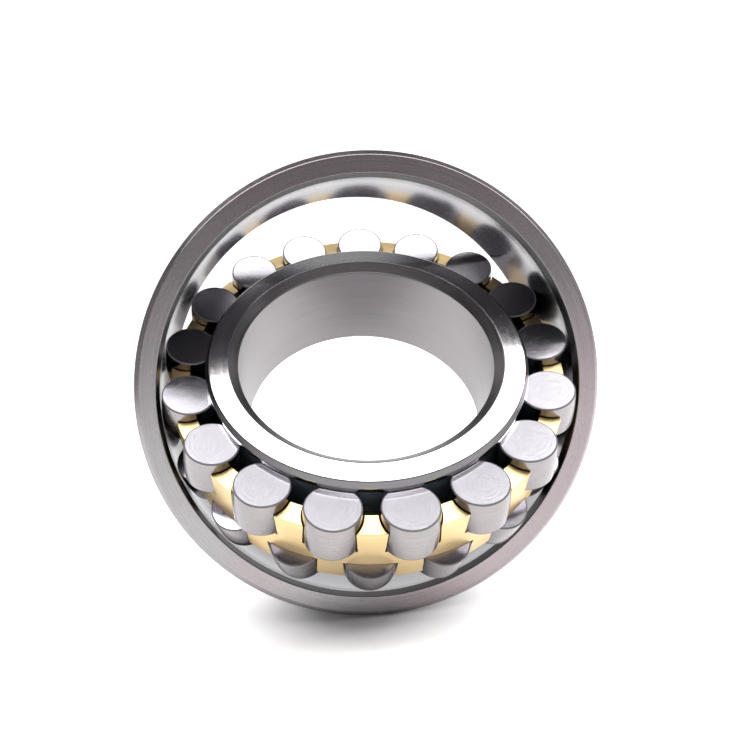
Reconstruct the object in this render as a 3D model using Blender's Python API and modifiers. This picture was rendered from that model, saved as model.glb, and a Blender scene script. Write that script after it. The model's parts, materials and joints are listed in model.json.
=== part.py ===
"""Spherical roller bearing: outer ring, inner ring, guide ring, brass cage, two rows of rollers.

Metres, +Z up. The outer ring stands on its edge with its axis along Y and its front towards -Y.
The inner ring, guide ring, cage and rollers swivel together in it about the X axis.
"""
import math

import bmesh
import bpy
from mathutils import Matrix, Vector

MM = 0.001

# Outer ring
OUTSIDE_DIAMETER = 180.0 * MM
WIDTH = 46.0 * MM
OUTER_RING_WALL = 7.2 * MM
OUTER_CORNER_CHAMFER = 2.1 * MM
LEAD_IN_DEPTH = 3.5 * MM
LEAD_IN_FLARE = 0.9 * MM

# Rollers
ROLLERS_PER_ROW = 17
ROLLER_DIAMETER = 20.6 * MM
ROLLER_LENGTH = 15.8 * MM
ROLLER_END_CHAMFER = 0.6 * MM
CONTACT_ANGLE = math.radians(9.5)
ROLLER_PROFILE_SLACK = 1.0 * MM

# Inner ring
BORE_DIAMETER = 100.0 * MM
BORE_CORNER_CHAMFER = 3.3 * MM
FLANGE_HEIGHT = 2.8 * MM
FLANGE_CHAMFER_RADIAL = 1.6 * MM
FLANGE_CHAMFER_AXIAL = 2.0 * MM

# Cage
CAGE_WIDTH = 32.0 * MM
CAGE_DEPTH = 7.9 * MM
PRONG_TAPER = 0.5 * MM
PRONG_TAPER_LENGTH = 8.0 * MM
CAGE_BELOW_ROLLER_AXIS = 1.7 * MM

# Fits
RUNNING_GAP = 0.3 * MM
POCKET_GAP = 0.3 * MM

# Pose at rest
SWIVEL_AT_REST = math.radians(46.5)
FRONT_ROW_PHASE = math.radians(7.2)

# Fineness of the round surfaces
RING_STEPS = 4 * ROLLERS_PER_ROW
ROLLER_STEPS = 16
RACEWAY_POINTS = 7
INNER_RACEWAY_POINTS = 5
SHARP_ANGLE = math.radians(28.0)
SEAM_MERGE = 0.01 * MM

# Sizes that follow from the ones above
PITCH_ANGLE = 2.0 * math.pi / ROLLERS_PER_ROW
RACEWAY_RADIUS = OUTSIDE_DIAMETER / 2 - OUTER_RING_WALL
ROLLER_RADIUS = ROLLER_DIAMETER / 2
ROLLER_PROFILE_RADIUS = RACEWAY_RADIUS - ROLLER_PROFILE_SLACK
ROLLER_CENTRE_DISTANCE = RACEWAY_RADIUS - RUNNING_GAP - ROLLER_RADIUS
ROW_RADIUS = ROLLER_CENTRE_DISTANCE * math.cos(CONTACT_ANGLE)
ROW_HEIGHT = ROLLER_CENTRE_DISTANCE * math.sin(CONTACT_ANGLE)
HALF_WIDTH = WIDTH / 2
HALF_LENGTH = ROLLER_LENGTH / 2


def barrel_radius(along):
    """Radius of a roller at a distance along its axis from its middle."""
    sagitta = ROLLER_PROFILE_RADIUS - math.sqrt(ROLLER_PROFILE_RADIUS ** 2 - along ** 2)
    return ROLLER_RADIUS - sagitta


def in_row(along, outward):
    """Radius and height in the bearing of a point measured from the middle of a front roller."""
    radius = ROW_RADIUS - along * math.sin(CONTACT_ANGLE) + outward * math.cos(CONTACT_ANGLE)
    height = ROW_HEIGHT + along * math.cos(CONTACT_ANGLE) + outward * math.sin(CONTACT_ANGLE)
    return (radius, height)


def height_beside_roller(along, radius):
    """Height, at a radius in the bearing, of the plane square to a roller's axis."""
    start_radius, start_height = in_row(along, 0.0)
    return start_height + (radius - start_radius) * math.tan(CONTACT_ANGLE)


def mirrored(points):
    """A half profile from the front face to the middle, followed by its mirror image."""
    lower = [(radius, -height) for radius, height in reversed(points)]
    return points + lower


def new_collection(name):
    collection = bpy.data.collections.new(name)
    bpy.context.scene.collection.children.link(collection)
    return collection


def new_material(name, colour, roughness, metallic):
    material = bpy.data.materials.new(name)
    material.use_nodes = True
    shader = material.node_tree.nodes["Principled BSDF"]
    shader.inputs["Base Color"].default_value = (colour[0], colour[1], colour[2], 1.0)
    shader.inputs["Roughness"].default_value = roughness
    shader.inputs["Metallic"].default_value = metallic
    return material


def new_empty(name, collection, rotation):
    empty = bpy.data.objects.new(name, None)
    collection.objects.link(empty)
    empty.rotation_euler = rotation
    return empty


def smooth(mesh):
    mesh.shade_smooth()
    mesh.set_sharp_from_angle(angle=SHARP_ANGLE)


def turned_piece(name, collection, profile, closed, steps, material):
    """A turned solid: its profile, in the XZ plane, screwed once about Z."""
    mesh = bpy.data.meshes.new(name)
    vertices = [(radius, 0.0, height) for radius, height in profile]
    edges = [(index, index + 1) for index in range(len(profile) - 1)]
    if closed:
        edges.append((len(profile) - 1, 0))
    mesh.from_pydata(vertices, edges, [])
    mesh.materials.append(material)
    piece = bpy.data.objects.new(name, mesh)
    collection.objects.link(piece)
    screw = piece.modifiers.new("turn", "SCREW")
    screw.axis = "Z"
    screw.angle = 2.0 * math.pi
    screw.steps = steps
    screw.render_steps = steps
    screw.use_merge_vertices = True
    screw.merge_threshold = SEAM_MERGE
    screw.use_smooth_shade = True
    return piece


def outer_ring_profile():
    """Outer ring: cylinder outside, spherical raceway inside, a lead-in at each mouth."""
    outside = OUTSIDE_DIAMETER / 2 / math.cos(math.pi / RING_STEPS)
    mouth_height = HALF_WIDTH - LEAD_IN_DEPTH
    mouth_radius = math.sqrt(RACEWAY_RADIUS ** 2 - mouth_height ** 2)
    profile = [
        (mouth_radius + LEAD_IN_FLARE, HALF_WIDTH),
        (outside - OUTER_CORNER_CHAMFER, HALF_WIDTH),
        (outside, HALF_WIDTH - OUTER_CORNER_CHAMFER),
        (outside, OUTER_CORNER_CHAMFER - HALF_WIDTH),
        (outside - OUTER_CORNER_CHAMFER, -HALF_WIDTH),
        (mouth_radius + LEAD_IN_FLARE, -HALF_WIDTH),
    ]
    edge_angle = math.asin(mouth_height / RACEWAY_RADIUS)
    for index in range(RACEWAY_POINTS):
        angle = edge_angle * (2.0 * index / (RACEWAY_POINTS - 1) - 1.0)
        profile.append((RACEWAY_RADIUS * math.cos(angle), RACEWAY_RADIUS * math.sin(angle)))
    return profile


def inner_ring_corner():
    """Foot of the retaining flange, where the raceway ends, in radius and height."""
    return in_row(HALF_LENGTH + RUNNING_GAP, -(barrel_radius(HALF_LENGTH) + RUNNING_GAP))


def land_radius():
    """Radius of the land between the two inner raceways."""
    return in_row(-HALF_LENGTH, -(barrel_radius(HALF_LENGTH) + RUNNING_GAP))[0]


def inner_ring_profile():
    """Inner ring: bore, side faces, flanges, two barrel raceways and the land between them."""
    corner_radius, corner_height = inner_ring_corner()
    flange_radius = corner_radius + FLANGE_HEIGHT
    flange_foot = height_beside_roller(HALF_LENGTH + RUNNING_GAP, flange_radius)
    outside = [
        (flange_radius - FLANGE_CHAMFER_RADIAL, HALF_WIDTH),
        (flange_radius, HALF_WIDTH - FLANGE_CHAMFER_AXIAL),
        (flange_radius, flange_foot),
        (corner_radius, corner_height),
    ]
    for index in range(1, INNER_RACEWAY_POINTS):
        along = HALF_LENGTH * (1.0 - 2.0 * index / (INNER_RACEWAY_POINTS - 1))
        outside.append(in_row(along, -(barrel_radius(along) + RUNNING_GAP)))
    bore = BORE_DIAMETER / 2
    inside = [
        (bore + BORE_CORNER_CHAMFER, -HALF_WIDTH),
        (bore, BORE_CORNER_CHAMFER - HALF_WIDTH),
        (bore, HALF_WIDTH - BORE_CORNER_CHAMFER),
        (bore + BORE_CORNER_CHAMFER, HALF_WIDTH),
    ]
    return mirrored(outside) + inside


def guide_ring_profile():
    """Guide ring: runs on the land, with sides that lie along the inner ends of the rollers."""
    bore = land_radius() + RUNNING_GAP
    outside = cage_bore_radius() - RUNNING_GAP
    beside = -(HALF_LENGTH + RUNNING_GAP)
    half = [
        (bore, height_beside_roller(beside, bore)),
        (outside, height_beside_roller(beside, outside)),
    ]
    return mirrored(half)


def cage_bore_radius():
    return ROW_RADIUS - CAGE_BELOW_ROLLER_AXIS


def cage_profile():
    """Cage blank: a band whose outside tapers a little towards each crown of prongs."""
    bore = cage_bore_radius()
    half_width = CAGE_WIDTH / 2
    return mirrored([
        (bore, half_width),
        (bore + CAGE_DEPTH - PRONG_TAPER, half_width),
        (bore + CAGE_DEPTH, half_width - PRONG_TAPER_LENGTH),
    ])


def roller_profile():
    """Barrel roller with flat ends and a small chamfer at each."""
    shoulder = HALF_LENGTH - ROLLER_END_CHAMFER
    flat = barrel_radius(shoulder) - ROLLER_END_CHAMFER
    return mirrored([
        (0.0, HALF_LENGTH),
        (flat, HALF_LENGTH),
        (barrel_radius(shoulder), shoulder),
        (barrel_radius(shoulder / 3), shoulder / 3),
    ])


def roller_place(row, index):
    """Place of a roller in the inner assembly; its own Z runs out through its outer end."""
    step = index if row > 0 else index + 0.5
    angle = FRONT_ROW_PHASE + step * PITCH_ANGLE
    radial = Vector((math.sin(angle), math.cos(angle), 0.0))
    forward = Vector((0.0, 0.0, float(row)))
    axis = forward * math.cos(CONTACT_ANGLE) - radial * math.sin(CONTACT_ANGLE)
    side = axis.cross(radial).normalized()
    square = axis.cross(side)
    middle = radial * ROW_RADIUS + forward * ROW_HEIGHT
    turn = Matrix((side, square, axis)).transposed()
    return Matrix.Translation(middle) @ turn.to_4x4()


def pocket_cutter(collection):
    """One round pocket for each roller, from its floor out past the tips of the prongs."""
    cutter = bmesh.new()
    floor = -(HALF_LENGTH + RUNNING_GAP)
    length = ROLLER_LENGTH + CAGE_WIDTH / 2
    radius = (ROLLER_RADIUS + POCKET_GAP) / math.cos(math.pi / ROLLER_STEPS)
    lift = Matrix.Translation((0.0, 0.0, floor + length / 2))
    for row in (1, -1):
        for index in range(ROLLERS_PER_ROW):
            bmesh.ops.create_cone(
                cutter,
                cap_ends=True,
                segments=ROLLER_STEPS,
                radius1=radius,
                radius2=radius,
                depth=length,
                matrix=roller_place(row, index) @ lift,
            )
    mesh = bpy.data.meshes.new("pockets")
    cutter.to_mesh(mesh)
    cutter.free()
    pockets = bpy.data.objects.new("pockets", mesh)
    collection.objects.link(pockets)
    pockets.hide_render = True
    pockets.display_type = "WIRE"
    return pockets


def build():
    for old in list(bpy.data.objects):
        bpy.data.objects.remove(old, do_unlink=True)
    parts = new_collection("spherical_roller_bearing")
    cutters = new_collection("cutters")

    ring_steel = new_material("ground_ring_steel", (0.56, 0.54, 0.54), 0.34, 1.0)
    race_steel = new_material("inner_ring_steel", (0.66, 0.64, 0.65), 0.28, 1.0)
    roller_steel = new_material("roller_steel", (0.76, 0.74, 0.78), 0.22, 1.0)
    guide_steel = new_material("guide_ring_steel", (0.20, 0.20, 0.22), 0.45, 1.0)
    brass = new_material("cage_brass", (0.83, 0.64, 0.30), 0.36, 1.0)

    standing = new_empty("outer_axis", parts, (math.pi / 2, 0.0, 0.0))
    swivel = new_empty("inner_axis", parts, (math.pi / 2 - SWIVEL_AT_REST, 0.0, 0.0))
    row_turn = math.pi / 2 - FRONT_ROW_PHASE

    outer = turned_piece("outer_ring", parts, outer_ring_profile(), True, RING_STEPS, ring_steel)
    outer.parent = standing
    outer.rotation_euler = (0.0, 0.0, math.pi / RING_STEPS)

    inner = turned_piece("inner_ring", parts, inner_ring_profile(), True, RING_STEPS, race_steel)
    guide = turned_piece("guide_ring", parts, guide_ring_profile(), True, RING_STEPS, guide_steel)
    cage = turned_piece("cage", parts, cage_profile(), True, RING_STEPS, brass)
    for piece in (inner, guide, cage):
        piece.parent = swivel
        piece.rotation_euler = (0.0, 0.0, row_turn)

    pockets = pocket_cutter(cutters)
    pockets.parent = swivel
    cut = cage.modifiers.new("pockets", "BOOLEAN")
    cut.operation = "DIFFERENCE"
    cut.solver = "EXACT"
    cut.object = pockets

    first = turned_piece("front_roller_01", parts, roller_profile(), False, ROLLER_STEPS, roller_steel)
    for row, name in ((1, "front_roller"), (-1, "back_roller")):
        for index in range(ROLLERS_PER_ROW):
            if row > 0 and index == 0:
                roller = first
            else:
                roller = first.copy()
                roller.name = f"{name}_{index + 1:02d}"
                parts.objects.link(roller)
            roller.parent = swivel
            roller.matrix_local = roller_place(row, index)

    for piece in (outer, inner, guide, cage, first):
        smooth(piece.data)


build()
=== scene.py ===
import json
import math

import bmesh
import bpy
from bpy.props import FloatProperty, FloatVectorProperty, IntProperty, PointerProperty
from bpy.types import Operator, Panel, PropertyGroup
from mathutils import Matrix, Vector


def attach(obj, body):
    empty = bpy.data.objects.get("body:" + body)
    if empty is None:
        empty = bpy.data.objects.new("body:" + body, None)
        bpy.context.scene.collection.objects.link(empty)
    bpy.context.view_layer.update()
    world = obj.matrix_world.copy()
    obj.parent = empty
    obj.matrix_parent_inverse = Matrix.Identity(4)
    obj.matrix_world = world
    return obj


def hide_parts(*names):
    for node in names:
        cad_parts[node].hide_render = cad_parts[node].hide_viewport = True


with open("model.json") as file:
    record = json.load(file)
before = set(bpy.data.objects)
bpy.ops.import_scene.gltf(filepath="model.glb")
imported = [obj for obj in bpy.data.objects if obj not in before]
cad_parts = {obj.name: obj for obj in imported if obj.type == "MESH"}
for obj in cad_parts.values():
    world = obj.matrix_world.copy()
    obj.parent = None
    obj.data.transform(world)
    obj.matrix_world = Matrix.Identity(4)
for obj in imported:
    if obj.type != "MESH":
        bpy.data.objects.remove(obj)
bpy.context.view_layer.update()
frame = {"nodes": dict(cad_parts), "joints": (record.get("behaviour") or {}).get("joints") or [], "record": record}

bl_info = {
    "name": "Spherical Roller Bearing",
    "version": (1, 0, 0),
    "blender": (4, 5, 0),
    "location": "3D View > Sidebar > Bearing",
    "description": "Models the rings, cage and rollers of a self-aligning roller bearing",
    "category": "Object",
}

JOINTS = {joint["name"]: joint for joint in frame["joints"]}
FRONT_ROLLERS = sorted(node for node in frame["nodes"] if node.startswith("front_roller"))
BACK_ROLLERS = sorted(node for node in frame["nodes"] if node.startswith("back_roller"))
MM = 0.001

# Outlines
RING_CORNER = 0.35 * MM
GUIDE_CORNER = 0.3 * MM
NEARLY_STRAIGHT = math.radians(165)
CORNER_SHARE = 0.3
BESIDE_CORNER = 1.35

# Mesh cleaning, and how near its surface a face is taken to be part of it
TURNED_MERGE = 0.000002
TURNED_SLIVER = 0.0000005
DRILLED_MERGE = 0.000005
FACE_MARGIN = 0.05 * MM

# The map that runs round each piece
FACES_ALONG_AXIS = 0.7
ON_AXIS = 0.0001
MAP_MIDDLE = 0.5
MAP_TURN = 0.9
MAP_PER_METRE = 4.0

# Cage
DRILL_SIDES = 64
CAGE_EDGE = 0.00018
CAGE_SHARP = math.radians(30)

# Share of a roller's corner radius that takes the corners' near-black colour, painted shade that outlines each
# roller end
CORNER_SHADE_SHARE = 0.9

# Stage
FLOOR_GAP = 0.0002
CARD_HEIGHT = 0.83
HORIZON = (0.50, 0.485, 0.49, 1.0)
OVERHEAD = (0.06, 0.062, 0.068, 1.0)
WHITE = (1.0, 1.0, 1.0, 1.0)
BLACK = (0.0, 0.0, 0.0, 1.0)


def millimetres(value, label, text):
    return FloatProperty(name=label, description=text, default=value * MM, unit="LENGTH", precision=5)


def colour(value, label, text):
    return FloatVectorProperty(name=label, description=text, default=value, size=3,
                               subtype="COLOR", min=0.0, max=1.0)


class BearingSizes(PropertyGroup):
    """Sizes of the bearing's pieces"""
    outside: millimetres(180.0, "Outside diameter", "Diameter of the outer ring")
    width: millimetres(46.0, "Width", "Width of both rings")
    raceway: millimetres(82.8, "Raceway radius", "Radius of the spherical raceway")
    lead_depth: millimetres(3.5, "Lead-in depth", "Depth of the lead-in at each mouth")
    lead_flare: millimetres(0.9, "Lead-in flare", "How far the lead-in opens")
    outer_chamfer: millimetres(2.1, "Outer chamfer", "Chamfer on the outer ring's corners")
    bore: millimetres(100.0, "Bore", "Diameter of the inner ring's bore")
    bore_chamfer: millimetres(3.3, "Bore chamfer", "Chamfer at each end of the bore")
    flange_height: millimetres(2.8, "Flange height", "Height of the retaining flanges")
    flange_chamfer_out: millimetres(1.6, "Flange chamfer, radial", "Chamfer down the side face")
    flange_chamfer_in: millimetres(2.0, "Flange chamfer, axial", "Chamfer along the flange")
    roller: millimetres(20.6, "Roller diameter", "Largest diameter of a roller")
    roller_length: millimetres(15.8, "Roller length", "Length of a roller")
    roller_corner: millimetres(0.8, "Roller corner", "Corner radius at the roller's ends")
    roller_slack: millimetres(1.0, "Profile slack", "How much tighter than the raceway the barrel is")
    contact_angle: FloatProperty(name="Contact angle", description="Tilt of each roller",
                                 default=math.radians(9.5), subtype="ANGLE")
    cage_width: millimetres(32.0, "Cage width", "Length of the cage over its prongs")
    cage_depth: millimetres(7.9, "Cage depth", "Radial depth of the cage")
    cage_taper: millimetres(0.5, "Prong taper", "How much the prongs fall away outside")
    cage_taper_length: millimetres(8.0, "Taper length", "Length of the tapered part")
    cage_drop: millimetres(1.7, "Cage drop", "How far the cage's bore lies below the roller axes")
    roller_dish: millimetres(0.06, "Roller dish", "Hollow of a roller's ends at their middle")
    gap: millimetres(0.3, "Running gap", "Gap left between pieces that run together")
    ring_steps: IntProperty(name="Ring steps", description="Steps round each ring", default=272)
    roller_steps: IntProperty(name="Roller steps", description="Steps round each roller", default=80)


class BearingFinish(PropertyGroup):
    """Colours of the bearing's steels and brass, and of the floor"""
    ring: colour((0.292, 0.284, 0.288), "Ring steel", "Ground steel of the outer ring")
    race: colour((0.245, 0.24, 0.25), "Race steel", "Polished steel of the raceway")
    inner: colour((0.88, 0.87, 0.88), "Inner ring steel", "Ground steel of the inner ring")
    bored: colour((0.275, 0.262, 0.267), "Bore steel", "Honed steel of the bore")
    turned: colour((0.17, 0.166, 0.17), "Turned steel", "Darker turned steel of the inner ring's chamfers")
    # Bluish: the navy shade seen down the gaps between the rollers is painted into this colour.
    raceway_gap_shade: colour((0.18, 0.235, 0.30), "Oiled steel", "Oiled steel of the inner ring's raceways")
    # Near-black: the dark band of shade at each lead-in is painted into this colour.
    lead_in_painted_shade: colour((0.10, 0.098, 0.10), "Lead-in steel", "Dark turned steel of the lead-ins")
    # Partly the ring's own dark steel, partly painted: lifted and tinted navy like the shaded gaps between the
    # rows.
    guide: colour((0.13, 0.165, 0.205), "Guide ring steel", "Blackened steel of the guide ring")
    roller: colour((0.66, 0.64, 0.69), "Roller end steel", "Polished steel of the rollers' ends")
    # Near-black: the shade along the rollers' rims is painted into this colour.
    corner: colour((0.12, 0.117, 0.12), "Corner steel", "Ground steel of the rollers' corners")
    barrel: colour((0.305, 0.288, 0.293), "Barrel steel", "Superfinished steel of the rollers' sides")
    brass: colour((0.77, 0.59, 0.31), "Cage brass", "Machined brass of the cage")
    floor: colour((0.93, 0.93, 0.93), "Floor", "Pale studio floor")


def sizes():
    return bpy.context.scene.bearing_sizes


def finish():
    return bpy.context.scene.bearing_finish


# Shapes of the turned pieces

def row_radius():
    """Radius and height of the middle of each front roller."""
    size = sizes()
    distance = size.raceway - size.gap - size.roller / 2
    return distance * math.cos(size.contact_angle), distance * math.sin(size.contact_angle)


def cage_bore():
    return row_radius()[0] - sizes().cage_drop


def in_row(along, outward):
    """Radius and height of a point measured from the middle of a front roller."""
    angle = sizes().contact_angle
    radius, height = row_radius()
    return (radius - along * math.sin(angle) + outward * math.cos(angle),
            height + along * math.cos(angle) + outward * math.sin(angle))


def height_beside_roller(along, radius):
    start = in_row(along, 0.0)
    return start[1] + (radius - start[0]) * math.tan(sizes().contact_angle)


def barrel_radius(along):
    size = sizes()
    curve = size.raceway - size.roller_slack
    return size.roller / 2 - (curve - math.sqrt(curve ** 2 - along ** 2))


def mirrored(points):
    return points + [(radius, -height) for radius, height in reversed(points)]


def rounded(points, corner, bends=4, closed=True):
    """The same outline with its corners rounded, and a point kept close beside each corner."""
    count = len(points)
    outline = []
    for index, point in enumerate(points):
        here = Vector(point)
        if not closed and index in (0, count - 1):
            outline.append(here)
            continue
        back = Vector(points[index - 1]) - here
        ahead = Vector(points[(index + 1) % count]) - here
        turn = back.angle(ahead)
        if turn > NEARLY_STRAIGHT:
            outline.append(here)
            continue
        reach = min(corner, CORNER_SHARE * back.length, CORNER_SHARE * ahead.length)
        first = here + back.normalized() * reach
        last = here + ahead.normalized() * reach
        outline.append(here + back.normalized() * reach * BESIDE_CORNER)
        for bend in range(bends + 1):
            share = bend / bends
            outline.append(first.lerp(here, share).lerp(here.lerp(last, share), share))
        outline.append(here + ahead.normalized() * reach * BESIDE_CORNER)
    return outline


def outer_outline():
    size = sizes()
    half = size.width / 2
    outside = size.outside / 2
    mouth_height = half - size.lead_depth
    mouth = math.sqrt(size.raceway ** 2 - mouth_height ** 2)
    points = [
        (mouth + size.lead_flare, half),
        (outside - size.outer_chamfer, half),
        (outside, half - size.outer_chamfer),
        (outside, size.outer_chamfer - half),
        (outside - size.outer_chamfer, -half),
        (mouth + size.lead_flare, -half),
    ]
    edge = math.asin(mouth_height / size.raceway)
    bends = 24
    for index in range(bends + 1):
        angle = edge * (2.0 * index / bends - 1.0)
        points.append((size.raceway * math.cos(angle), size.raceway * math.sin(angle)))
    return rounded(points, RING_CORNER)


def raceway_corner():
    """Where an inner raceway meets the flange beside it."""
    size = sizes()
    half_length = size.roller_length / 2
    return in_row(half_length + size.gap, -(barrel_radius(half_length) + size.gap))


def flange_side():
    """Radius and height of the flange's edge over the raceway."""
    size = sizes()
    flange = raceway_corner()[0] + size.flange_height
    return flange, height_beside_roller(size.roller_length / 2 + size.gap, flange)


def inner_outline():
    size = sizes()
    half = size.width / 2
    half_length = size.roller_length / 2
    flange, side = flange_side()
    points = [
        (flange - size.flange_chamfer_out, half),
        (flange, half - size.flange_chamfer_in),
        (flange, side),
        raceway_corner(),
    ]
    bends = 16
    for index in range(1, bends + 1):
        along = half_length * (1.0 - 2.0 * index / bends)
        points.append(in_row(along, -(barrel_radius(along) + size.gap)))
    bore = size.bore / 2
    bored = [
        (bore + size.bore_chamfer, -half),
        (bore, size.bore_chamfer - half),
        (bore, half - size.bore_chamfer),
        (bore + size.bore_chamfer, half),
    ]
    return rounded(mirrored(points) + bored, RING_CORNER)


def guide_outline():
    size = sizes()
    half_length = size.roller_length / 2
    land = in_row(-half_length, -(barrel_radius(half_length) + size.gap))[0]
    bore = land + size.gap
    outside = cage_bore() - size.gap
    beside = -(half_length + size.gap)
    points = mirrored([(bore, height_beside_roller(beside, bore)),
                       (outside, height_beside_roller(beside, outside))])
    return rounded(points, GUIDE_CORNER)


def cage_outline():
    size = sizes()
    half = size.cage_width / 2
    bore = cage_bore()
    return mirrored([
        (bore, half),
        (bore + size.cage_depth - size.cage_taper, half),
        (bore + size.cage_depth, half - size.cage_taper_length),
    ])


def roller_outline():
    """Half outline of a barrel roller, with its ends dished a little."""
    size = sizes()
    half = size.roller_length / 2
    edge = barrel_radius(half)
    rings = 8
    points = []
    for index in range(rings):
        share = index / rings
        points.append((edge * share, half - size.roller_dish * (1.0 - share ** 2)))
    bends = 12
    for index in range(bends // 2 + 1):
        along = half * (1.0 - 2.0 * index / bends)
        points.append((barrel_radius(along), along))
    lower = [(radius, -height) for radius, height in reversed(points[:-1])]
    return rounded(points + lower, size.roller_corner, bends=6, closed=False)


def turned(outline, steps, closed=True):
    """A bmesh of an outline in the XZ plane, spun once about Z."""
    shape = bmesh.new()
    points = [shape.verts.new((point[0], 0.0, point[1])) for point in outline]
    edges = [shape.edges.new(pair) for pair in zip(points, points[1:])]
    if closed:
        edges.append(shape.edges.new((points[-1], points[0])))
    bmesh.ops.spin(shape, geom=points + edges, cent=(0.0, 0.0, 0.0), axis=(0.0, 0.0, 1.0),
                   dvec=(0.0, 0.0, 0.0), angle=2.0 * math.pi, steps=steps, use_merge=True,
                   use_normal_flip=False, use_duplicate=False)
    bmesh.ops.remove_doubles(shape, verts=shape.verts, dist=TURNED_MERGE)
    bmesh.ops.dissolve_degenerate(shape, dist=TURNED_SLIVER, edges=shape.edges)
    bmesh.ops.recalc_face_normals(shape, faces=shape.faces)
    return shape


def mark_turning(shape):
    """Keeps each point's place about the piece's own axis, and a map that runs round it."""
    own = shape.verts.layers.float_vector.new("own_place")
    for vert in shape.verts:
        vert[own] = vert.co
    layer = shape.loops.layers.uv.new("around")
    for face in shape.faces:
        middle = face.calc_center_median()
        heading = math.atan2(middle.y, middle.x)
        flat = abs(face.normal.z) > FACES_ALONG_AXIS
        for loop in face.loops:
            place = loop.vert.co
            radius = math.hypot(place.x, place.y)
            angle = heading
            if radius > ON_AXIS:
                angle = math.atan2(place.y, place.x)
            offset = (angle - heading + math.pi) % (2.0 * math.pi) - math.pi
            across = radius if flat else place.z
            round_axis = (heading + offset) / (2.0 * math.pi)
            loop[layer].uv = (MAP_MIDDLE + round_axis * MAP_TURN,
                              MAP_MIDDLE + across * MAP_PER_METRE)


def mesh_from(name, shape):
    mesh = bpy.data.meshes.new(name)
    shape.to_mesh(mesh)
    shape.free()
    return mesh


def object_with(name, data):
    thing = bpy.data.objects.new(name, data)
    bpy.context.scene.collection.objects.link(thing)
    return thing


def finished_piece(name, shape, place, materials, sharp=40.0):
    """A piece with its place in its mesh and its object at the origin."""
    mark_turning(shape)
    shape.transform(place)
    mesh = mesh_from(name, shape)
    for material in materials:
        mesh.materials.append(material)
    mesh.shade_smooth()
    mesh.set_sharp_from_angle(angle=math.radians(sharp))
    return object_with(name, mesh)


def stand_for(piece, node):
    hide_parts(node)
    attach(piece, body_of(node))


def body_of(node):
    for body, nodes in frame["record"]["behaviour"]["bodies"].items():
        if node in nodes:
            return body
    raise RuntimeError(f"no body holds {node}")


def outer_place():
    return Matrix.Rotation(math.pi / 2, 4, "X")


def inner_axis():
    return Vector(JOINTS["inner_ring_spin"]["axis"]).normalized()


def inner_place():
    """Turns a piece made about Z onto the tilted axis of the inner part."""
    forward = inner_axis()
    side = Vector((1.0, 0.0, 0.0))
    return Matrix((side, forward.cross(side), forward)).transposed().to_4x4()


def roller_place(node):
    joint = JOINTS[node + "_spin"]
    middle = Vector(joint["pos_m"])
    axis = Vector(joint["axis"]).normalized()
    if node.startswith("back"):
        axis = -axis
    radial = (middle - inner_axis() * middle.dot(inner_axis())).normalized()
    side = axis.cross(radial).normalized()
    return Matrix.Translation(middle) @ Matrix((side, axis.cross(side), axis)).transposed().to_4x4()


# Finishes

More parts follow.
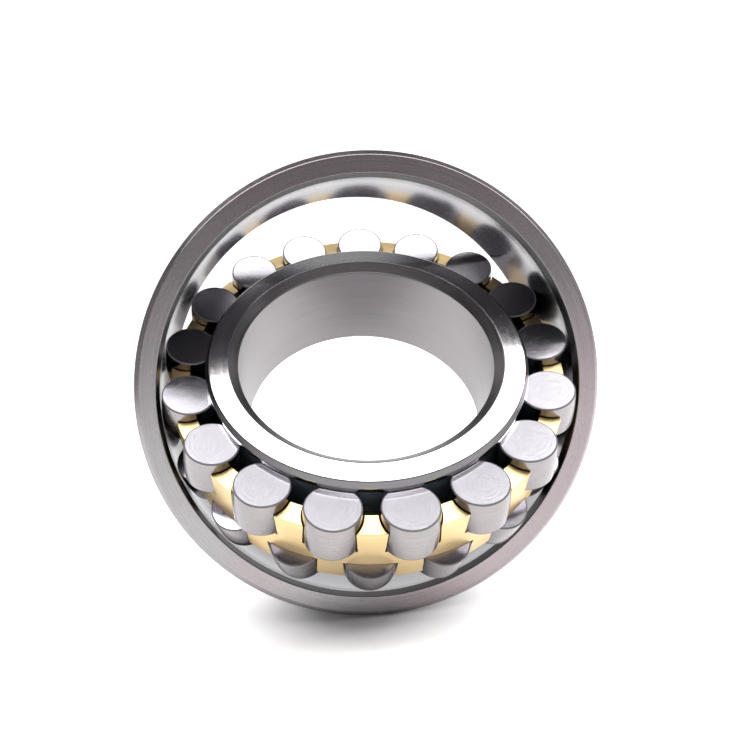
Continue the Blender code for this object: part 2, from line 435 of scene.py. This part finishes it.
class Finish:
    """A steel or brass finish: nodes that follow the marks a lathe or a grinder leaves."""

    def __init__(self, name, base, anisotropic):
        self.material = bpy.data.materials.new(name)
        self.material.use_nodes = True
        self.nodes = self.material.node_tree.nodes
        self.links = self.material.node_tree.links
        self.shader = self.nodes["Principled BSDF"]
        self.base = base
        self.shader.inputs["Metallic"].default_value = 1.0
        self.shader.inputs["Anisotropic"].default_value = anisotropic
        if anisotropic > 0.0:
            tangent = self.add("ShaderNodeTangent", direction_type="UV_MAP", uv_map="around")
            self.link(tangent, 0, self.shader, "Tangent")
        place = self.add("ShaderNodeAttribute", attribute_type="GEOMETRY", attribute_name="own_place")
        parts = self.add("ShaderNodeSeparateXYZ")
        self.link(place, "Vector", parts, 0)
        self.own = place.outputs["Vector"]
        level = self.combined(parts.outputs[0], parts.outputs[1], 0.0)
        radius = self.add("ShaderNodeVectorMath", operation="LENGTH")
        self.links.new(level, radius.inputs[0])
        self.radius = radius.outputs["Value"]
        self.height = parts.outputs[2]
        heading = self.add("ShaderNodeVectorMath", operation="NORMALIZE")
        self.links.new(level, heading.inputs[0])
        self.heading = heading.outputs[0]

    def add(self, kind, **values):
        node = self.nodes.new(kind)
        for key, value in values.items():
            setattr(node, key, value)
        return node

    def link(self, source, out, target, into):
        self.links.new(source.outputs[out], target.inputs[into])

    def feed(self, node, values):
        for index, value in enumerate(values):
            if isinstance(value, (int, float)):
                node.inputs[index].default_value = value
            else:
                self.links.new(value, node.inputs[index])
        return node.outputs[0]

    def maths(self, operation, first, second):
        return self.feed(self.add("ShaderNodeMath", operation=operation), (first, second))

    def combined(self, *parts):
        return self.feed(self.add("ShaderNodeCombineXYZ"), parts)

    def rings(self, fineness, sweep, detail=2.0):
        """Noise drawn out round the axis, so many marks to the metre."""
        along = self.maths("MULTIPLY", self.radius, fineness)
        deep = self.maths("MULTIPLY", self.height, fineness)
        turn = self.add("ShaderNodeVectorMath", operation="SCALE")
        self.links.new(self.heading, turn.inputs[0])
        turn.inputs["Scale"].default_value = sweep
        shift = self.combined(0.0, 0.0, along)
        where = self.add("ShaderNodeVectorMath", operation="ADD")
        self.links.new(turn.outputs[0], where.inputs[0])
        self.links.new(shift, where.inputs[1])
        noise = self.add("ShaderNodeTexNoise", noise_dimensions="4D")
        self.link(where, 0, noise, "Vector")
        self.links.new(deep, noise.inputs["W"])
        noise.inputs["Scale"].default_value = 1.0
        noise.inputs["Detail"].default_value = detail
        noise.inputs["Roughness"].default_value = 0.6
        return noise.outputs["Fac"]

    def clouds(self, scale, detail=3.0):
        noise = self.add("ShaderNodeTexNoise", noise_dimensions="3D")
        self.links.new(self.own, noise.inputs["Vector"])
        noise.inputs["Scale"].default_value = scale
        noise.inputs["Detail"].default_value = detail
        return noise.outputs["Fac"]

    def spread(self, value, low, high, start=0.3, end=0.7):
        node = self.add("ShaderNodeMapRange")
        self.links.new(value, node.inputs["Value"])
        node.inputs["From Min"].default_value = start
        node.inputs["From Max"].default_value = end
        node.inputs["To Min"].default_value = low
        node.inputs["To Max"].default_value = high
        return node.outputs["Result"]

    def tint(self, value, dark, light):
        node = self.add("ShaderNodeMix", data_type="RGBA")
        self.links.new(value, node.inputs["Factor"])
        node.inputs["A"].default_value = (*dark, 1.0)
        node.inputs["B"].default_value = (*light, 1.0)
        return node.outputs["Result"]

    def darken(self, colour_in, value, shade):
        node = self.add("ShaderNodeMix", data_type="RGBA", blend_type="MULTIPLY")
        self.links.new(value, node.inputs["Factor"])
        self.links.new(colour_in, node.inputs["A"])
        node.inputs["B"].default_value = (*shade, 1.0)
        return node.outputs["Result"]

    def bump(self, value, depth, under=None):
        node = self.add("ShaderNodeBump")
        node.inputs["Strength"].default_value = 1.0
        node.inputs["Distance"].default_value = depth
        self.links.new(value, node.inputs["Height"])
        if under is not None:
            self.links.new(under, node.inputs["Normal"])
        return node.outputs["Normal"]

    def scaled(self, share):
        return tuple(min(1.0, part * share) for part in self.base)

    def close(self, colour_out, roughness_out, normal_out):
        self.links.new(colour_out, self.shader.inputs["Base Color"])
        self.links.new(roughness_out, self.shader.inputs["Roughness"])
        self.links.new(normal_out, self.shader.inputs["Normal"])
        return self.material


def steel(name, base, roughness, fineness, anisotropic, depth, metal=1.0, haze=None):
    """Ground or polished steel: circular marks, an oil film, scuffs and, where given, a haze."""
    made = Finish(name, base, anisotropic)
    made.shader.inputs["Metallic"].default_value = metal
    fine = made.rings(fineness, sweep=1.5)
    coarse = made.rings(fineness / 7.0, sweep=0.8, detail=1.0)
    film = made.clouds(scale=38.0)
    scuffs = made.clouds(scale=900.0, detail=1.0)
    light = made.tint(made.spread(fine, low=0.0, high=1.0), made.scaled(0.86), made.scaled(1.10))
    toned = made.darken(light, made.spread(coarse, low=0.0, high=0.35), shade=(0.86, 0.86, 0.88))
    filmed = made.darken(toned, made.spread(film, low=0.0, high=0.5), shade=(1.0, 0.97, 0.97))
    marked = made.spread(fine, low=-0.05, high=0.05)
    worn = made.maths("ADD", marked, made.spread(film, low=-0.03, high=0.03))
    rough = made.maths("ADD", worn, roughness)
    scuffed = made.maths("ADD", rough,
                         made.spread(scuffs, low=0.0, high=0.05, start=0.62, end=0.75))
    relief = made.bump(fine, depth)
    if haze is not None:
        wide = made.clouds(scale=14.0, detail=1.0)
        filmed = made.darken(filmed, made.spread(wide, low=0.0, high=1.0, start=0.42, end=0.58), haze)
    return made.close(filmed, scuffed, relief)


def machined_brass(name, base):
    """Brass with the marks of a turning tool, patches of tarnish and fine specks."""
    made = Finish(name, base, anisotropic=0.25)
    fine = made.rings(fineness=5200.0, sweep=2.0)
    coarse = made.rings(fineness=900.0, sweep=0.6, detail=1.0)
    patches = made.clouds(scale=60.0, detail=4.0)
    specks = made.clouds(scale=1400.0, detail=2.0)
    light = made.tint(made.spread(fine, low=0.0, high=1.0), made.scaled(0.90), made.scaled(1.08))
    toned = made.darken(light, made.spread(coarse, low=0.0, high=0.3), shade=(0.90, 0.84, 0.70))
    tarnish = made.spread(patches, low=0.0, high=0.4, start=0.45, end=0.75)
    aged = made.darken(toned, tarnish, shade=(0.93, 0.84, 0.66))
    rough = made.maths("ADD", made.spread(fine, low=0.28, high=0.40),
                       made.spread(patches, low=-0.04, high=0.06))
    relief = made.bump(fine, depth=0.00002)
    pitted = made.bump(specks, depth=0.00001, under=relief)
    return made.close(aged, rough, pitted)


# Pieces

class PieceOperator(Operator):
    """What the operators below have in common"""
    bl_options = {"REGISTER", "UNDO"}


class BEARING_OT_outer_ring(PieceOperator):
    """Turns the outer ring with its spherical raceway"""
    bl_idname = "bearing.outer_ring"
    bl_label = "Outer Ring"

    def execute(self, context):
        ground = steel("ground_outer_ring", finish().ring, roughness=0.26, fineness=9000.0,
                       anisotropic=0.4, depth=0.000004, haze=(1.0, 0.90, 0.92))
        polished = steel("polished_raceway", finish().race, roughness=0.19, fineness=6000.0,
                         anisotropic=0.2, depth=0.000001)
        # The lead-ins get a near-black colour: painted shade for the dark band between the face and the raceway.
        rough = steel("shaded_lead_in_band", finish().lead_in_painted_shade, roughness=0.30, fineness=5200.0,
                      anisotropic=0.3, depth=0.000005)
        finishes = [ground, polished, rough]
        shape = turned(outer_outline(), sizes().ring_steps)
        limit = sizes().raceway + FACE_MARGIN
        face_height = sizes().width / 2 - FACE_MARGIN
        for face in shape.faces:
            middle = face.calc_center_median()
            radius = math.hypot(middle.x, middle.y)
            if all(vert.co.length < limit for vert in face.verts):
                face.material_index = finishes.index(polished)
            # Faces between the face and the raceway: the lead-ins, which take the painted shade.
            elif radius < sizes().raceway and abs(middle.z) < face_height:
                face.material_index = finishes.index(rough)
        piece = finished_piece("outer_ring_detail", shape, outer_place(), finishes)
        stand_for(piece, "outer_ring")
        return {"FINISHED"}


class BEARING_OT_inner_ring(PieceOperator):
    """Turns the inner ring with its bore, flanges and two raceways"""
    bl_idname = "bearing.inner_ring"
    bl_label = "Inner Ring"

    def execute(self, context):
        ground = steel("ground_inner_ring", finish().inner, roughness=0.18, fineness=9000.0,
                       anisotropic=0.3, depth=0.0000025)
        bored = steel("honed_bore", finish().bored, roughness=0.34, fineness=9000.0,
                      anisotropic=0.35, depth=0.000003)
        rough = steel("turned_inner_ring", finish().turned, roughness=0.30, fineness=5200.0,
                      anisotropic=0.3, depth=0.000005)
        # The raceways show only down the gaps between rollers; their bluish, half-metallic colour paints the gaps'
        # navy shade.
        raceway_gap_shade = steel("inner_raceway_painted_gap_shade", finish().raceway_gap_shade, roughness=0.3, fineness=6000.0,
                      anisotropic=0.2, depth=0.000001, metal=0.4)
        finishes = [ground, bored, rough, raceway_gap_shade]
        shape = turned(inner_outline(), sizes().ring_steps)
        bore = sizes().bore / 2 + FACE_MARGIN
        shoulder = sizes().bore / 2 + sizes().bore_chamfer
        face_height = sizes().width / 2 - FACE_MARGIN
        chamfer_height = sizes().width / 2 - sizes().flange_chamfer_in
        raceway_height = flange_side()[1]
        for face in shape.faces:
            middle = face.calc_center_median()
            radius = math.hypot(middle.x, middle.y)
            height = abs(middle.z)
            # Faces beside the rollers between the flanges: the raceways, which take the painted gap shade.
            if radius > shoulder and height < raceway_height:
                face.material_index = finishes.index(raceway_gap_shade)
            elif all(math.hypot(vert.co.x, vert.co.y) < bore for vert in face.verts):
                face.material_index = finishes.index(bored)
            elif height < face_height and (radius < shoulder or height > chamfer_height):
                face.material_index = finishes.index(rough)
        piece = finished_piece("inner_ring_detail", shape, inner_place(), finishes)
        stand_for(piece, "inner_ring")
        return {"FINISHED"}


class BEARING_OT_guide_ring(PieceOperator):
    """Turns the loose guide ring between the rows"""
    bl_idname = "bearing.guide_ring"
    bl_label = "Guide Ring"

    def execute(self, context):
        # Dark steel, lifted and tinted navy: painted light and shade for a ring that sits in the shaded gaps.
        dark = steel("guide_ring_painted_gap_shade", finish().guide, roughness=0.4, fineness=3000.0,
                     anisotropic=0.3, depth=0.00001)
        shape = turned(guide_outline(), sizes().ring_steps)
        piece = finished_piece("guide_ring_detail", shape, inner_place(), [dark])
        stand_for(piece, "guide_ring")
        return {"FINISHED"}


class BEARING_OT_cage(PieceOperator):
    """Turns the cage blank, drills a pocket for each roller and softens its edges"""
    bl_idname = "bearing.cage"
    bl_label = "Cage"

    def execute(self, context):
        size = sizes()
        blank = turned(cage_outline(), size.ring_steps)
        first = roller_place("front_roller_01")
        own = inner_place().inverted()
        heading = own @ first.translation
        blank.transform(Matrix.Rotation(math.atan2(heading.y, heading.x), 4, "Z"))
        drilled = self.drill(blank, own)
        brass = machined_brass("machined_brass", finish().brass)
        piece = finished_piece("cage_detail", drilled, inner_place(), [brass], sharp=50.0)
        weighted = piece.modifiers.new("even_faces", "WEIGHTED_NORMAL")
        weighted.weight = 100
        weighted.keep_sharp = True
        stand_for(piece, "cage")
        return {"FINISHED"}

    def drill(self, blank, own):
        """Cuts a blind round pocket along each roller's axis, open to the side of its row."""
        size = sizes()
        reach = size.roller_length + size.cage_width / 2
        floor = -(size.roller_length / 2 + size.gap)
        lift = Matrix.Translation((0.0, 0.0, floor + reach / 2))
        radius = size.roller / 2 + size.gap
        drills = bmesh.new()
        for node in FRONT_ROLLERS + BACK_ROLLERS:
            bmesh.ops.create_cone(drills, cap_ends=True, segments=DRILL_SIDES, radius1=radius,
                                  radius2=radius, depth=reach, matrix=own @ roller_place(node) @ lift)
        ring = object_with("blank", mesh_from("blank", blank))
        cutters = object_with("drills", mesh_from("drills", drills))
        cut = ring.modifiers.new("pockets", "BOOLEAN")
        cut.operation = "DIFFERENCE"
        cut.solver = "EXACT"
        cut.object = cutters
        result = bmesh.new()
        result.from_object(ring, bpy.context.evaluated_depsgraph_get())
        for thing in (ring, cutters):
            bpy.data.objects.remove(thing, do_unlink=True)
        if not result.faces:
            raise RuntimeError("the cage's pockets could not be cut")
        bmesh.ops.remove_doubles(result, verts=result.verts, dist=DRILLED_MERGE)
        sharp = [edge for edge in result.edges
                 if edge.is_manifold and edge.calc_face_angle() > CAGE_SHARP]
        bmesh.ops.bevel(result, geom=sharp, offset=CAGE_EDGE, offset_type="OFFSET", affect="EDGES",
                        segments=2, profile=0.5, material=-1, clamp_overlap=False)
        bmesh.ops.recalc_face_normals(result, faces=result.faces)
        return result


def roller_finishes():
    """The finishes of a roller's ends, sides and corners, made once for both rows."""
    names = ("polished_roller_end", "superfinished_barrel", "painted_shade_roller_corner")
    if names[0] not in bpy.data.materials:
        # The rollers' corners get a near-black, barely metallic colour: painted shade that outlines each roller
        # end.
        steel("painted_shade_roller_corner", finish().corner, roughness=0.5, fineness=7000.0,
              anisotropic=0.2, depth=0.000001, metal=0.1)
        steel("polished_roller_end", finish().roller, roughness=0.17, fineness=9000.0,
              anisotropic=0.0, depth=0.0000003)
        steel("superfinished_barrel", finish().barrel, roughness=0.22, fineness=7000.0,
              anisotropic=0.2, depth=0.000001)
    return [bpy.data.materials[name] for name in names]


class RollerRow:
    """One row of barrel rollers, each its own piece."""
    nodes = []

    def execute(self, context):
        ends, sides, corners = roller_finishes()
        finishes = [ends, sides, corners]
        corner = CORNER_SHADE_SHARE * sizes().roller_corner
        inside = barrel_radius(sizes().roller_length / 2) - corner
        below = sizes().roller_length / 2 - corner
        for node in self.nodes:
            shape = turned(roller_outline(), sizes().roller_steps, closed=False)
            for face in shape.faces:
                middle = face.calc_center_median()
                if math.hypot(middle.x, middle.y) > inside:
                    # Faces at the rim take the corners' painted shade.
                    part = sides if abs(middle.z) < below else corners
                    face.material_index = finishes.index(part)
            piece = finished_piece(node + "_detail", shape, roller_place(node), finishes)
            stand_for(piece, node)
        return {"FINISHED"}


class BEARING_OT_front_rollers(RollerRow, PieceOperator):
    """Turns the front row of barrel rollers"""
    bl_idname = "bearing.front_rollers"
    bl_label = "Front Rollers"
    nodes = FRONT_ROLLERS


class BEARING_OT_back_rollers(RollerRow, PieceOperator):
    """Turns the back row of barrel rollers"""
    bl_idname = "bearing.back_rollers"
    bl_label = "Back Rollers"
    nodes = BACK_ROLLERS


class BEARING_OT_stage(PieceOperator):
    """Lays a pale floor and backdrop, sets soft studio lights and the camera"""
    bl_idname = "bearing.stage"
    bl_label = "Stage"

    def execute(self, context):
        self.backdrop()
        self.sky()
        self.lamp("softbox", where=(0.32, -0.24, 0.85), target=(0.32, -0.24, 0.0),
                  size=(2.3, 0.48), glow=5.3)
        self.lamp("side_strip", where=(0.95, -0.26, 0.56), target=(0.0, 0.0, 0.0),
                  size=(0.45, 0.34), glow=3.5)
        self.card("scrim", middle=(0.11, -0.005), spans=(0.32, 0.097), turn=-12.0, glow=1.22)
        self.card("half_scrim", middle=(0.09, -0.103), spans=(0.36, 0.10), turn=-12.0, glow=1.65)
        self.card("dim_scrim", middle=(0.09, 0.11), spans=(0.16, 0.12), turn=0.0, glow=0.3)
        self.camera()
        return {"FINISHED"}

    def card(self, name, middle, spans, turn, glow):
        """Hangs a glowing card under part of the softbox, so that the steel mirrors a dimmer patch.

        The card holds back the softbox's light behind it, and the camera doesn't see it.
        """
        sheet = bmesh.new()
        bmesh.ops.create_grid(sheet, x_segments=1, y_segments=1, size=0.5)
        place = (Matrix.Translation((*middle, CARD_HEIGHT))
                 @ Matrix.Rotation(math.radians(turn), 4, "Z")
                 @ Matrix.Diagonal((spans[0], spans[1], 1.0, 1.0)))
        sheet.transform(place)
        mesh = mesh_from(name, sheet)
        material = bpy.data.materials.new(name)
        material.use_nodes = True
        shader = material.node_tree.nodes["Principled BSDF"]
        shader.inputs["Base Color"].default_value = BLACK
        shader.inputs["Specular IOR Level"].default_value = 0.0
        shader.inputs["Emission Color"].default_value = WHITE
        shader.inputs["Emission Strength"].default_value = glow
        mesh.materials.append(material)
        card = object_with(name, mesh)
        card.visible_camera = False

    def backdrop(self):
        """Lays one pale sheet that is the floor and bends up behind the bearing."""
        left = -4.0
        front = -3.0
        bend = 1.2
        radius = 0.8
        top = 4.0
        steps = 24
        level = -sizes().outside / 2 - FLOOR_GAP
        side = [(front, level), (bend, level)]
        for step in range(1, steps + 1):
            angle = math.pi / 2 * step / steps
            side.append((bend + radius * math.sin(angle), level + radius * (1 - math.cos(angle))))
        side.append((bend + radius, top))
        sheet = bmesh.new()
        start = [sheet.verts.new((left, *point)) for point in side]
        edges = [sheet.edges.new(pair) for pair in zip(start, start[1:])]
        swept = bmesh.ops.extrude_edge_only(sheet, edges=edges)
        moved = [item for item in swept["geom"] if isinstance(item, bmesh.types.BMVert)]
        bmesh.ops.translate(sheet, verts=moved, vec=(-2.0 * left, 0.0, 0.0))
        bmesh.ops.recalc_face_normals(sheet, faces=sheet.faces)
        mesh = mesh_from("backdrop", sheet)
        mesh.shade_smooth()
        material = bpy.data.materials.new("pale_floor_painted_shadow")
        material.use_nodes = True
        shader = material.node_tree.nodes["Principled BSDF"]
        shader.inputs["Base Color"].default_value = (*finish().floor, 1.0)
        shader.inputs["Roughness"].default_value = 0.75
        # The floor's glow paints a small soft shadow round the bearing's foot.
        self.painted_shadow_glow(material, shader)
        mesh.materials.append(material)
        object_with("backdrop", mesh)

    def painted_shadow_glow(self, material, shader):
        """Makes the sheet glow more and more with the distance from the bearing's foot; where the glow is missing
        it paints a small soft shadow round the foot.
        """
        # Middle of the painted shadow, where the glow starts and where it is full.
        foot = (-0.012, -0.010, -sizes().outside / 2)
        near = 0.017
        far = 0.064
        strongest = 0.75
        nodes = material.node_tree.nodes
        links = material.node_tree.links
        where = nodes.new("ShaderNodeTexCoord")
        distance = nodes.new("ShaderNodeVectorMath")
        distance.operation = "DISTANCE"
        fade = nodes.new("ShaderNodeMapRange")
        links.new(where.outputs["Object"], distance.inputs[0])
        distance.inputs[1].default_value = foot
        links.new(distance.outputs["Value"], fade.inputs["Value"])
        fade.inputs["From Min"].default_value = near
        fade.inputs["From Max"].default_value = far
        fade.inputs["To Min"].default_value = 0.0
        fade.inputs["To Max"].default_value = strongest
        shader.inputs["Emission Color"].default_value = WHITE
        links.new(fade.outputs["Result"], shader.inputs["Emission Strength"])

    def sky(self):
        """Sets a plain white ground, and grey to dark surroundings for the steel to mirror."""
        world = bpy.data.worlds.new("studio")
        bpy.context.scene.world = world
        world.use_nodes = True
        nodes = world.node_tree.nodes
        links = world.node_tree.links
        where = nodes.new("ShaderNodeTexCoord")
        parts = nodes.new("ShaderNodeSeparateXYZ")
        fade = nodes.new("ShaderNodeValToRGB")
        rays = nodes.new("ShaderNodeLightPath")
        seen = nodes.new("ShaderNodeMix")
        seen.data_type = "RGBA"
        links.new(where.outputs["Generated"], parts.inputs[0])
        links.new(parts.outputs[2], fade.inputs["Fac"])
        links.new(rays.outputs["Is Camera Ray"], seen.inputs["Factor"])
        links.new(fade.outputs["Color"], seen.inputs["A"])
        seen.inputs["B"].default_value = WHITE
        links.new(seen.outputs["Result"], nodes["Background"].inputs["Color"])
        fade.color_ramp.elements[0].position = 0.1
        fade.color_ramp.elements[0].color = HORIZON
        fade.color_ramp.elements[1].position = 0.75
        fade.color_ramp.elements[1].color = OVERHEAD

    def lamp(self, name, where, target, size, glow):
        """Hangs a rectangular lamp whose face has the brightness given, whatever its size."""
        light = bpy.data.lights.new(name, "AREA")
        light.shape = "RECTANGLE"
        light.size = size[0]
        light.size_y = size[1]
        light.energy = glow * math.pi * size[0] * size[1]
        lamp = object_with(name, light)
        lamp.location = where
        lamp.rotation_euler = (Vector(target) - Vector(where)).to_track_quat("-Z", "Y").to_euler()

    def camera(self):
        place = (-0.03283, -0.273448, 0.030063)
        image = 730.0
        focal_length = 663.03
        centre = (319.36, 408.10)
        lens = bpy.data.cameras.new("camera")
        camera = object_with("camera", lens)
        forward = Vector((0.04890783, 0.99000613, -0.13227199)).normalized()
        up = Vector((0.10964722, 0.12630833, 0.98591262))
        side = forward.cross(up).normalized()
        up = side.cross(forward)
        turn = Matrix((side, up, -forward)).transposed().to_4x4()
        camera.matrix_world = Matrix.Translation(place) @ turn
        lens.sensor_width = 36.0
        lens.lens = focal_length / image * lens.sensor_width
        lens.shift_x = (image / 2 - centre[0]) / image
        lens.shift_y = (centre[1] - image / 2) / image
        lens.clip_start = 0.01
        lens.dof.use_dof = False
        bpy.context.scene.camera = camera
        bpy.context.scene.view_settings.view_transform = "Standard"


class BEARING_PT_panel(Panel):
    """Lists the sizes, the colours and the pieces of the bearing"""
    bl_idname = "BEARING_PT_panel"
    bl_label = "Spherical Roller Bearing"
    bl_space_type = "VIEW_3D"
    bl_region_type = "UI"
    bl_category = "Bearing"

    def draw(self, context):
        for settings in (sizes(), finish()):
            box = self.layout.box()
            for name in type(settings).__annotations__:
                box.prop(settings, name)
        for operator in PIECES:
            self.layout.operator(operator.bl_idname)


PIECES = (BEARING_OT_outer_ring, BEARING_OT_inner_ring, BEARING_OT_guide_ring, BEARING_OT_cage,
          BEARING_OT_front_rollers, BEARING_OT_back_rollers, BEARING_OT_stage)
CLASSES = (BearingSizes, BearingFinish, *PIECES, BEARING_PT_panel)


def register():
    for item in CLASSES:
        bpy.utils.register_class(item)
    bpy.types.Scene.bearing_sizes = PointerProperty(type=BearingSizes)
    bpy.types.Scene.bearing_finish = PointerProperty(type=BearingFinish)


def unregister():
    del bpy.types.Scene.bearing_finish
    del bpy.types.Scene.bearing_sizes
    for item in reversed(CLASSES):
        bpy.utils.unregister_class(item)


def main():
    register()
    bpy.ops.bearing.outer_ring()
    bpy.ops.bearing.inner_ring()
    bpy.ops.bearing.guide_ring()
    bpy.ops.bearing.cage()
    bpy.ops.bearing.front_rollers()
    bpy.ops.bearing.back_rollers()
    bpy.ops.bearing.stage()


if __name__ == "__main__":
    main()
